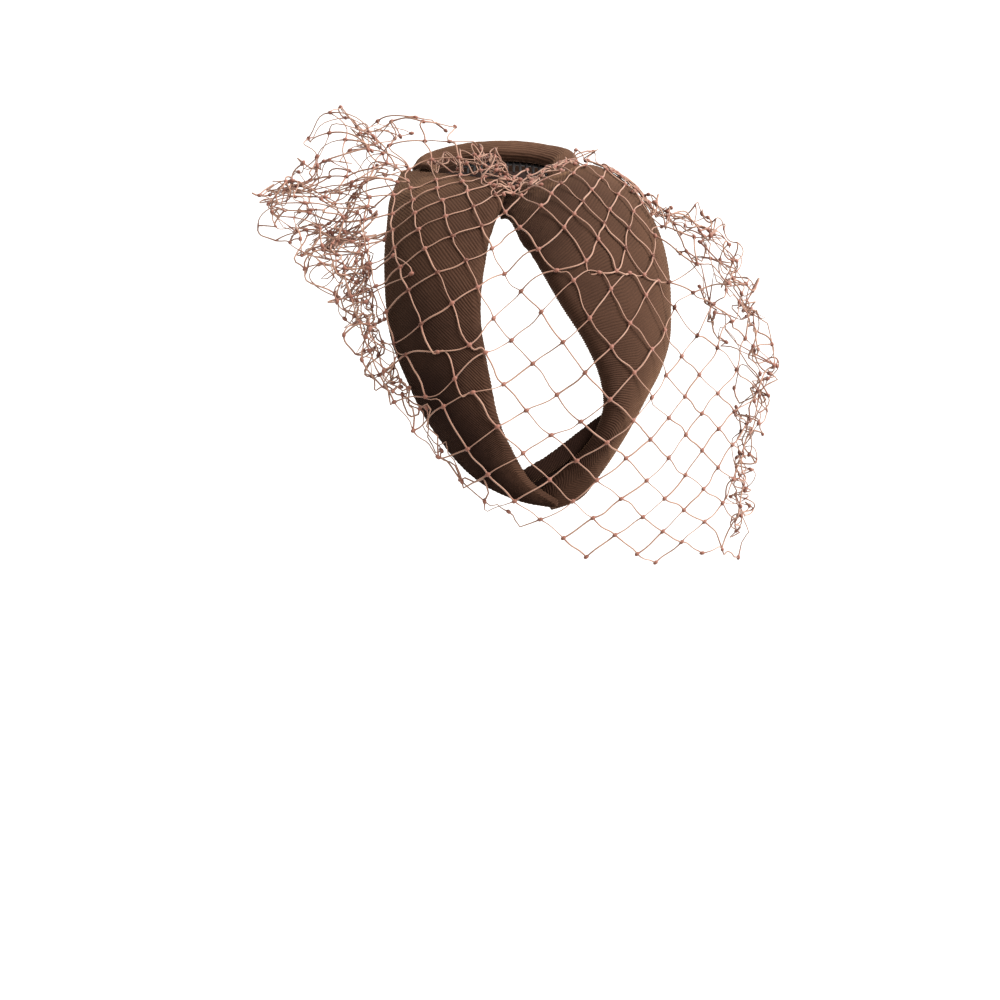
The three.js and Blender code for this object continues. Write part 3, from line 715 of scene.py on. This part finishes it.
tooth_tree, add = node_tree("comb teeth", [
    ("Thickness", "NodeSocketFloat"), ("Sides", "NodeSocketInt"),
    ("Material", "NodeSocketMaterial"),
])
given = add("NodeGroupInput").outputs
painted_end(add, given, rods(add, given, "Thickness"))
run_tree(comb_teeth, tooth_tree, {
    "Thickness": MM, "Sides": TOOTH_SIDES, "Material": comb_plastic,
})


def squared(wave):
    """A round wave pushed out to the corners of its square."""
    return np.sign(wave) * np.abs(wave) ** 0.5


bar_across = np.linspace(-COMB_WIDTH / 2, COMB_WIDTH / 2, BAR_RINGS) + COMB_SHIFT
bar_turns = np.linspace(0, 2 * np.pi, BAR_SIDES, endpoint=False)
past_straight = np.abs(bar_across - COMB_SHIFT) - COMB_WIDTH / 2 + BAR_ROUNDING
past_straight = np.clip(past_straight, 0, BAR_ROUNDING) / BAR_ROUNDING
bar_end = np.sqrt(np.clip(1 - past_straight ** 2, 0, 1))[:, None]
bar_rings = seat_points(
    CROWN_SEAT, bar_across[:, None],
    COMB_BACK - COMB_BAR_DEPTH / 2 + squared(np.cos(bar_turns)) * COMB_BAR_DEPTH / 2 * bar_end,
    COMB_LIFT + squared(np.sin(bar_turns)) * COMB_THICKNESS / 2 * bar_end,
)
comb_bar = ringed_mesh("hair_comb_bar", bar_rings, {})
comb_bar.data.materials.append(comb_plastic)
for piece in (comb_teeth, comb_bar):
    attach(piece, "root")
    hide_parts("hair_comb")


# Veil
# Knotted net of fine tan thread with squares of about 10 mm, cut as a strip. It is gathered into
# a bunch where the petals meet, lies on the petals, and is puffed and folded at both sides.
NET_CELL = 10.0
VEIL_DROP = 173.0          # gather to hem, measured over the seat
VEIL_PUFF = 40.0           # highest lift of the net off the seat
NET_LIFT = 0.15
NET_CLEAR = 0.5            # middle of a thread above the cloth that it lies on
DRAPE_RADIUS = 10.0        # round hill that the net makes over an edge
THREAD_RADIUS = 0.30
THREAD_RANGE = (0.55, 1.1)     # thinnest and thickest thread, as shares of the radius
THREAD_AT_KNOT = 0.8           # share of the radius that a thread has at its knots
THICKER_NEAR_KNOT = 0.35       # added to it there
THREAD_POINTS = 6              # points on a thread between its knots
THREAD_SIDES = 5
CURL_SHARE = 0.5               # how far a thread bends to and fro, by how far it bows
KNOT_LENGTH = 1.15
KNOT_WIDTH = 0.75
KNOT_AHEAD = 0.08              # share of a square over which a knot's direction is taken
GATHER = (0.018 * LOOP_WIDTH, 0.397 * LOOP_LENGTH)
BEND = (0.28 * LOOP_WIDTH, 0.95 * LOOP_LENGTH)
BEND_RADIUS = 150.0
PUFF_ROWS = (      # across, along, spread, lift
    (-0.34, 0.18, 0.09, 0.82),
    (-0.15, 0.17, 0.05, 0.42),
    (0.17, 0.08, 0.04, 0.22),
    (-0.54, -0.04, 0.12, 0.72),
    (0.37, -0.16, 0.085, 0.36),
    (0.53, -0.33, 0.13, 0.26),
    (0.56, -0.82, 0.11, 0.26),
)
# The veil's outline by turn from straight ahead, with the pleats that are folded under it there:
# reach as a share of the drop, then the width of a pleat and the flat depth of net in pleats.
OUTLINE_ROWS = np.array((
    (-180, 0.07, 10, 4), (-158, 0.15, 10, 4), (-140, 0.30, 16, 8), (-120, 0.37, 26, 16),
    (-104, 0.43, 34, 40), (-90, 0.49, 34, 60), (-80, 0.50, 30, 62), (-72, 0.46, 26, 60),
    (-60, 0.465, 17, 54), (-45, 0.495, 12, 44), (-25, 0.58, 10, 32), (-10, 0.69, 8, 12),
    (2, 0.785, 8, 0), (12, 0.86, 8, 0), (22, 0.93, 8, 0), (32, 0.99, 8, 0), (40, 0.925, 10, 12),
    (50, 0.78, 12, 28), (58, 0.615, 13, 34), (65, 0.48, 14, 36), (76, 0.36, 14, 34),
    (88, 0.30, 13, 30), (114, 0.20, 12, 16), (140, 0.08, 10, 4), (180, 0.07, 10, 4),
))


# Tucks that draw the net towards a line: its middle across and along, its heading in degrees,
# half its length, the width that is drawn in, and how strongly. Above 1 the net folds over.
TUCK_ROWS = (
    (28.0, 14.5, 4.0, 26.0, 6.0, 1.25),
    (-27.0, -5.0, -2.0, 18.0, 5.0, 1.2),
    (-24.0, -20.0, 3.0, 14.0, 5.5, 1.3),
    (15.0, 36.0, -52.0, 22.0, 13.0, 0.45),
)
SLOW_WAVE = 34.0           # wavelengths of the net's unevenness
QUICK_WAVE = 13.0
LOOSE_FROM = 8.0           # lift above which the net hangs loose
LOOSE_OVER = 10.0          # further lift over which it comes fully loose
# How far the net drifts sideways and crumples: everywhere, where loose, where folded under.
SIDE_DRIFT = (0.6, 2.4, 0.8)
CRUMPLE = (0.35, 1.1, 0.8)     # the first is a share of the sideways drift
LIFT_DRIFT = (2.2, 1.6)        # slow and quick
FOLDED_DRIFT = 0.5             # share of the lift's drift that folded net has
FOLD_BACK = 0.85               # share of a pleat's width that its net folds back inwards
LAYER_DROP = 0.42              # share of the lift that each folded layer lies lower
LAYER_DROP_MOST = 0.75
LAYER_APART = 40.0             # keeps the unevenness of one layer apart from the next
GATHER_PULL = 0.42             # how much the net is drawn together at the gather
GATHER_SPREAD = 15.0
LOWEST_LIFT = 0.8
DRIFT_WAVES = 10
NET_WAVINESS = 0.32            # how far a thread bows between its knots


def smooth_drift(places, wavelength, seed):
    """Slow, repeatable offsets in three directions, about 1 in size."""
    chance = np.random.default_rng(seed)
    total = np.zeros((len(places), 3))
    for _ in range(DRIFT_WAVES):
        wave = chance.normal(size=places.shape[1])
        wave *= 2 * np.pi / wavelength * chance.uniform(0.6, 1.6) / np.linalg.norm(wave)
        total += np.sin((places @ wave)[:, None] + chance.uniform(0, 2 * np.pi, 3))
    return total / math.sqrt(DRIFT_WAVES / 2)


# Points on the cloth that the net can lie on, one in seven of them: their lift and their
# direction from the seat's middle.
rests = []
for piece in (left_petal, right_petal, back_band):
    spots = np.empty(len(piece.data.vertices) * 3)
    piece.data.vertices.foreach_get("co", spots)
    rests.append(spots.reshape(-1, 3)[::7] / MM)
rests = np.concatenate(rests) + np.array([0.0, 0.0, SEAT_RADIUS])
rest_lift = np.linalg.norm(rests, axis=1)
rest_way = (rests / rest_lift[:, None]).astype(np.float32)
rest_lift = (rest_lift - SEAT_RADIUS).astype(np.float32)


def cloth_cover(ways):
    """The lift that the cloth holds the net up to, in each direction from the seat's middle."""
    held = np.zeros(len(ways))
    for start in range(0, len(ways), 500):
        some = ways[start:start + 500].astype(np.float32)
        away = SEAT_RADIUS ** 2 * 2 * (1 - some @ rest_way.T)
        held[start:start + 500] = (rest_lift - away / (2 * DRAPE_RADIUS)).max(axis=1)
    return held


def puffed(across, along):
    """The lift of the net's open side, by the puffs in it."""
    lift = np.full(len(across), NET_LIFT)
    for puff_across, puff_along, spread, height in PUFF_ROWS:
        x = (across - GATHER[0]) / VEIL_DROP - puff_across
        y = (along - GATHER[1]) / VEIL_DROP - puff_along
        lift += height * np.exp(-(x * x + y * y) / (2 * spread * spread))
    return lift * VEIL_PUFF


def bent_strip(i, j):
    """A place on the flat strip as distances over the seat: the strip lies in a wide bend."""
    half = NET_CELL / math.sqrt(2)
    angle = (i + j) * half / BEND_RADIUS
    reach = BEND_RADIUS + (j - i) * half
    return BEND[0] + np.sin(angle) * reach, BEND[1] - np.cos(angle) * reach


def round_gather(across, along):
    """Turn from straight ahead in degrees, and reach from the gather."""
    forward = GATHER[1] - along
    sideways = across - GATHER[0]
    return np.degrees(np.arctan2(sideways, forward)), np.hypot(sideways, forward)


def from_gather(turn, reach):
    """The place at a turn from straight ahead, in degrees, and a reach from the gather."""
    radians = np.radians(turn)
    return GATHER[0] + np.sin(radians) * reach, GATHER[1] - np.cos(radians) * reach


def tucked(across, along):
    """The net's place after its tucks are drawn in."""
    for tuck_across, tuck_along, heading, half_length, width, pull in TUCK_ROWS:
        ahead = math.cos(math.radians(heading)), math.sin(math.radians(heading))
        x = (across - tuck_across) * ahead[0] + (along - tuck_along) * ahead[1]
        y = (along - tuck_along) * ahead[0] - (across - tuck_across) * ahead[1]
        drawn = pull * y * np.exp(-y ** 2 / (2 * width ** 2) - (x / half_length) ** 4)
        across = across + drawn * ahead[1]
        along = along - drawn * ahead[0]
    return across, along


def rested(across, along, lift):
    """Places on the seat's chart, held up by the cloth that lies under them."""
    ground = seat_points(LOOP_SEAT, across, along, np.zeros(len(across)))
    ground[:, 2] += SEAT_RADIUS
    held = cloth_cover(ground / SEAT_RADIUS) + NET_CLEAR
    return seat_points(LOOP_SEAT, across, along, np.maximum(lift, held))


def outline(turn):
    """Reach of the outline, width of its pleats and flat depth of them, in millimetres."""
    turns, reach, pleat, depth = OUTLINE_ROWS.T
    return (
        np.interp(turn, turns, reach) * VEIL_DROP,
        np.interp(turn, turns, pleat),
        np.interp(turn, turns, depth),
    )


def draped(i, j):
    """The net's place: on the strip, folded under at the outline, puffed, and held up by cloth."""
    across, along = bent_strip(i, j)
    turn, reach = round_gather(across, along)
    edge, pleat, _ = outline(turn)
    layer = np.clip(reach - edge, 0, None) / pleat
    inward = pleat * np.abs((layer + 1) % 2 - 1)
    reach = np.where(layer > 0, edge - FOLD_BACK * inward, reach)
    reach = reach * (1 - GATHER_PULL * np.exp(-(reach / GATHER_SPREAD) ** 2))
    across, along = tucked(*from_gather(turn, reach))
    puff = puffed(across, along)
    loose = np.clip((puff - LOOSE_FROM) / LOOSE_OVER, 0, 1)
    folded = np.clip(layer, 0, 1)
    places = np.stack([across, along, LAYER_APART * np.round(layer)], -1)
    slow = smooth_drift(places, SLOW_WAVE, 5)
    quick = smooth_drift(places, QUICK_WAVE, 6)
    side = SIDE_DRIFT[0] + SIDE_DRIFT[1] * loose + SIDE_DRIFT[2] * folded
    crumple = CRUMPLE[0] * side + CRUMPLE[1] * loose + CRUMPLE[2] * folded
    across = across + slow[:, 0] * side + quick[:, 0] * crumple
    along = along + slow[:, 1] * side + quick[:, 1] * crumple
    lower = np.clip(layer * LAYER_DROP, 0, LAYER_DROP_MOST)
    rise = slow[:, 2] * LIFT_DRIFT[0] + quick[:, 2] * LIFT_DRIFT[1]
    lift = puff * (1 - lower) + rise * (loose + FOLDED_DRIFT * (layer > 0))
    return rested(across, along, np.clip(lift, LOWEST_LIFT, None))


def net_threads(name, cells, place, waviness, seed, drawn, knot_share):
    """The threads of some cells of net as lines, but for those that are drawn already."""
    knots, threads = {}, {}
    for i, j in cells:
        for a, b in ((i, j), (i + 1, j), (i, j + 1), (i + 1, j + 1)):
            knots.setdefault((a, b), len(knots))
        for start, end in (
            ((i, j), (i + 1, j)), ((i, j + 1), (i + 1, j + 1)),
            ((i, j), (i, j + 1)), ((i + 1, j), (i + 1, j + 1)),
        ):
            if (start, end) not in drawn:
                threads[(start, end)] = True
    drawn.update(threads)
    chance = np.random.default_rng(seed)
    flat = np.array(list(knots), float)
    ends = np.array([(knots[a], knots[b]) for a, b in threads])
    shares = np.linspace(0, 1, THREAD_POINTS + 2)[1:-1]
    between = flat[ends[:, 0], None] * (1 - shares)[:, None]
    between = between + flat[ends[:, 1], None] * shares[:, None]
    everything = np.concatenate([flat, between.reshape(-1, 2)])
    spots = place(everything[:, 0], everything[:, 1])
    ahead = place(flat[:, 0] + KNOT_AHEAD, flat[:, 1])
    bow = chance.normal(size=(len(ends), 1, 3)) * waviness
    curl = chance.normal(size=(len(ends), 1, 3)) * waviness * CURL_SHARE
    sway = bow * np.sin(np.pi * shares)[:, None] + curl * np.sin(2 * np.pi * shares)[:, None]
    spots[len(flat):] += sway.reshape(-1, 3)
    inner = np.arange(len(ends) * THREAD_POINTS).reshape(len(ends), -1) + len(flat)
    chain = np.concatenate([ends[:, :1], inner, ends[:, 1:]], axis=1)
    uneven = np.repeat(chance.uniform(*THREAD_RANGE, len(ends)), THREAD_POINTS)
    thick = np.concatenate([np.full(len(flat), THREAD_AT_KNOT), uneven])
    lines = np.stack([chain[:, :-1], chain[:, 1:]], -1).reshape(-1, 2)
    mesh = bpy.data.meshes.new(name)
    mesh.from_pydata((spots * MM).tolist(), lines.tolist(), [])
    knot = np.zeros(len(spots))
    knot[:len(flat)] = chance.uniform(size=len(flat)) < knot_share
    near = np.concatenate([np.ones(len(flat)), np.tile(np.abs(2 * shares - 1) ** 3, len(ends))])
    lie = np.zeros((len(spots), 3))
    lie[:len(flat)] = ahead - spots[:len(flat)]
    store_numbers(mesh, {
        "knot": knot, "near_knot": near, "thickness": thick + THICKER_NEAR_KNOT * near ** 2,
    })
    mesh.attributes.new("lie", "FLOAT_VECTOR", "POINT").data.foreach_set("vector", lie.ravel())
    return placed(name, mesh)


# Threads are thin rods along their lines, and each knot is a small lump that lies with them.
net_tree, add = node_tree("knotted net", [
    ("Thread radius", "NodeSocketFloat"), ("Sides", "NodeSocketInt"),
    ("Knot length", "NodeSocketFloat"), ("Knot width", "NodeSocketFloat"),
    ("Material", "NodeSocketMaterial"),
])
given = add("NodeGroupInput").outputs
threads = rods(add, given, "Thread radius")
ball = add("GeometryNodeMeshUVSphere", {"Segments": 6, "Rings": 4, "Radius": 1.0}).outputs[0]
ball = add(
    "GeometryNodeStoreNamedAttribute", {"Geometry": ball, "Name": "near_knot", "Value": 1.0},
    data_type="FLOAT", domain="POINT",
).outputs[0]
is_knot = add(
    "FunctionNodeCompare", {0: stored(add, "knot"), 1: 0.99},
    data_type="FLOAT", operation="GREATER_THAN",
).outputs[0]
lie = stored(add, "lie", "FLOAT_VECTOR")
way = add("FunctionNodeAlignRotationToVector", {"Vector": lie}, axis="X").outputs[0]
size = add("ShaderNodeCombineXYZ", {
    "X": given["Knot length"], "Y": given["Knot width"], "Z": given["Knot width"],
}).outputs[0]
lumps = add("GeometryNodeInstanceOnPoints", {
    "Points": given["Geometry"], "Selection": is_knot, "Instance": ball,
    "Rotation": way, "Scale": size,
}).outputs[0]
both = add("GeometryNodeJoinGeometry")
for part in (threads, lumps):
    net_tree.links.new(part, both.inputs[0])
painted_end(add, given, both.outputs[0])

# The thread is a dull copper tan, and redder and darker where it is knotted.
veil_net, add = node_material("veil_net")
coords = add("ShaderNodeTexCoord").outputs["Object"]
near = add("ShaderNodeAttribute", attribute_name="near_knot").outputs["Fac"]
blotch = noise(add, coords, 260.0, 2.0)
twist = noise(add, coords, 3500.0)
thread_colour = blend(add, blotch, (0.21, 0.105, 0.065, 1), (0.30, 0.166, 0.110, 1))
net_colour = blend(add, near, thread_colour, (0.17, 0.060, 0.036, 1))
bump = add("ShaderNodeBump", {"Strength": 0.3, "Distance": 0.0001, "Height": twist}).outputs[0]
net_shader = add("ShaderNodeBsdfPrincipled", {
    "Base Color": net_colour, "Roughness": 0.6, "Normal": bump, "Sheen Weight": 0.15,
    "Specular IOR Level": 0.3,
}).outputs[0]
add("ShaderNodeOutputMaterial", {"Surface": net_shader})


def knotted(piece):
    """Gives lines of net their thread and knots."""
    run_tree(piece, net_tree, {
        "Thread radius": THREAD_RADIUS * MM, "Sides": THREAD_SIDES, "Material": veil_net,
        "Knot length": KNOT_LENGTH * MM, "Knot width": KNOT_WIDTH * MM,
    })
    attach(piece, "root")
    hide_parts("veil")


NET_REACH = 34             # squares of net tried to each side
LEFT_TURN = -35.0          # the veil is made in three parts, split at these turns
RIGHT_TURN = 46.0
parts = {"veil_front": [], "veil_left": [], "veil_right": []}
for i in range(-NET_REACH, NET_REACH):
    for j in range(-NET_REACH, NET_REACH):
        a = np.array([i, i + 1, i, i + 1], float)
        b = np.array([j, j, j + 1, j + 1], float)
        turn, reach = round_gather(*bent_strip(a, b))
        edge, _, depth = outline(turn)
        if (reach < edge + depth).all() and np.ptp(turn) < 180:
            middle = turn.mean()
            name = "veil_front"
            if middle < LEFT_TURN:
                name = "veil_left"
            elif middle > RIGHT_TURN:
                name = "veil_right"
            parts[name].append((i, j))
drawn = set()
for name, seed in (("veil_front", 11), ("veil_left", 12), ("veil_right", 13)):
    knotted(net_threads(name, parts[name], draped, NET_WAVINESS, seed, drawn, 1.0))

# At the left side the strip is folded double: a second layer lies close inside the first.
DOUBLED_TURNS = (-104.0, -48.0)
DOUBLED_REACH = 63.0       # from the gather to where the second layer begins
DOUBLED_OFFSET = (0.5, 0.35)   # squares that it is shifted by, along the net's two ways
DOUBLED_DRAW = 0.93        # how far it is drawn in towards the gather
DOUBLED_DRIFT = 1.6
DOUBLED_WAVE = 2.6         # squares to one wave of that drift
DOUBLED_WAVINESS = 0.4
DOUBLED_KNOTS = 0.8        # share of its crossings that show a knot
GATHER_LIFT = 4.0


def doubled(i, j):
    """The place of the second layer's net: drawn in towards the gather, but not into the cloth."""
    places = draped(i + DOUBLED_OFFSET[0], j + DOUBLED_OFFSET[1])
    shift = smooth_drift(np.stack([i, j], -1), DOUBLED_WAVE, 71) * DOUBLED_DRIFT
    middle = seat_points(LOOP_SEAT, *np.array([*GATHER, GATHER_LIFT])[:, None])
    ways = middle + (places - middle) * DOUBLED_DRAW + shift + (0.0, 0.0, SEAT_RADIUS)
    radius = np.linalg.norm(ways, axis=1)[:, None]
    held = SEAT_RADIUS + NET_CLEAR + cloth_cover(ways / radius)[:, None]
    return ways / radius * np.maximum(radius, held) - (0.0, 0.0, SEAT_RADIUS)


def is_doubled(i, j):
    """Whether a square lies where the strip is folded double."""
    turn, reach = round_gather(*bent_strip(np.array([i, i + 1.0]), np.array([j, j + 1.0])))
    inside = DOUBLED_TURNS[0] < turn.min() and turn.max() < DOUBLED_TURNS[1]
    return inside and reach.min() > DOUBLED_REACH


doubled_cells = [cell for cell in parts["veil_left"] if is_doubled(*cell)]
knotted(net_threads(
    "veil_left_fold", doubled_cells, doubled, DOUBLED_WAVINESS, 14, set(), DOUBLED_KNOTS,
))


# Gather
# The middle of the strip, drawn up small and sewn down over the dark hollow as a tangled bunch.
GATHER_PATHS = (           # across, along and lift of points on each drawn-up strip
    ((-3, 54, 7), (-3, 62, 8), (-4, 74, 8), (-6, 86, 7), (-8, 94, 5)),
    ((-3, 54, 7), (3, 53, 8), (9, 56, 9), (16, 61, 10), (23, 68, 11)),
    ((-27, 83, 8), (-18, 77, 8), (-8, 70, 9)),
)
GATHER_CELL = 4.0          # side of a square in the bunch
GATHER_SQUEEZE = 0.85      # share of its length that the net is pushed together to
GATHER_CRUMPLE = 1.6
CRUMPLE_WAVE = 2.4         # squares to one crumple
TANGLE_WAVINESS = 0.35
TANGLE_KNOTS = 0.45        # share of the crossings that show a knot


def tangle(name, path, cell, squeeze, crumple, seed):
    """A strip of net, two squares wide, that is crumpled along a path over the seat."""
    path = np.array(path, float)
    steps = np.linalg.norm(np.diff(path, axis=0), axis=1)
    reach = np.concatenate([[0], np.cumsum(steps)])

    def spot(distance):
        """The path's across, along and lift at distances along it."""
        return np.stack([np.interp(distance, reach, path[:, k]) for k in range(3)], -1)

    def place(i, j):
        """The place of knots by their number along the strip and across it."""
        distance = i * cell * squeeze
        ahead = spot(distance + 1) - spot(distance - 1)
        ahead /= np.linalg.norm(ahead[:, :2], axis=1)[:, None]
        spots = spot(distance)
        spots[:, :2] += (j * cell * squeeze)[:, None] * ahead[:, 1::-1] * (-1, 1)
        spots += smooth_drift(np.stack([i, j], -1) * cell, cell * CRUMPLE_WAVE, seed) * crumple
        return rested(spots[:, 0], spots[:, 1], np.clip(spots[:, 2], 1.0, None))

    count = int(reach[-1] / (cell * squeeze))
    cells = [(i, j) for i in range(count) for j in (-1, 0)]
    knotted(net_threads(name, cells, place, TANGLE_WAVINESS, seed, set(), TANGLE_KNOTS))


for number, path in enumerate(GATHER_PATHS):
    tangle(
        f"veil_gather_{number + 1}", path, GATHER_CELL, GATHER_SQUEEZE, GATHER_CRUMPLE, 40 + number,
    )


# Crumpled hem
# At the left side and along the right side the veil's hem is pushed up into dense small folds.
HEM_CELL = 6.5
HEM_SQUEEZE = 0.75
HEM_POINTS = 60
HEM_PARTS = (       # name, first and last turn, distance in from the outline, crumple, seed
    ("veil_hem_left", -100, -30, 6.0, 2.2, 51),
    ("veil_hem_right", 98, 34, 8.0, 2.4, 53),
)
for name, first, last, inset, crumple, seed in HEM_PARTS:
    turn = np.linspace(first, last, HEM_POINTS)
    across, along = from_gather(turn, outline(turn)[0] - inset)
    path = np.stack([across, along, puffed(across, along)], -1)
    tangle(name, path, HEM_CELL, HEM_SQUEEZE, crumple, seed)


# Stage
# A plain pale floor under a plain pale sky, with a large soft light above and to the right.
FLOOR_HEIGHT = -0.305
floor_mesh = bpy.data.meshes.new("floor")
floor_mesh.from_pydata(
    [(x, y, FLOOR_HEIGHT) for x, y in ((-8, -8), (8, -8), (8, 8), (-8, 8))], [], [(0, 1, 2, 3)],
)
floor = placed("floor", floor_mesh)
floor_paint = bpy.data.materials.new("floor_paint")
floor_paint.use_nodes = True
floor_shader = floor_paint.node_tree.nodes["Principled BSDF"]
floor_shader.inputs["Base Color"].default_value = (0.46, 0.457, 0.45, 1)
floor_shader.inputs["Roughness"].default_value = 0.9
floor_mesh.materials.append(floor_paint)

world = bpy.data.worlds.new("sky")
world.use_nodes = True
world.node_tree.nodes["Background"].inputs["Color"].default_value = (1.0, 1.0, 1.0, 1)
world.node_tree.nodes["Background"].inputs["Strength"].default_value = 1.02
scene.world = world

sun = bpy.data.lights.new("soft_sun", "SUN")
sun.energy = 9.0
sun.angle = math.radians(40.0)
sun_object = bpy.data.objects.new("soft_sun", sun)
sun_object.rotation_euler = (math.radians(4.0), math.radians(46.0), 0.0)
scene.collection.objects.link(sun_object)
scene.view_settings.view_transform = "Standard"
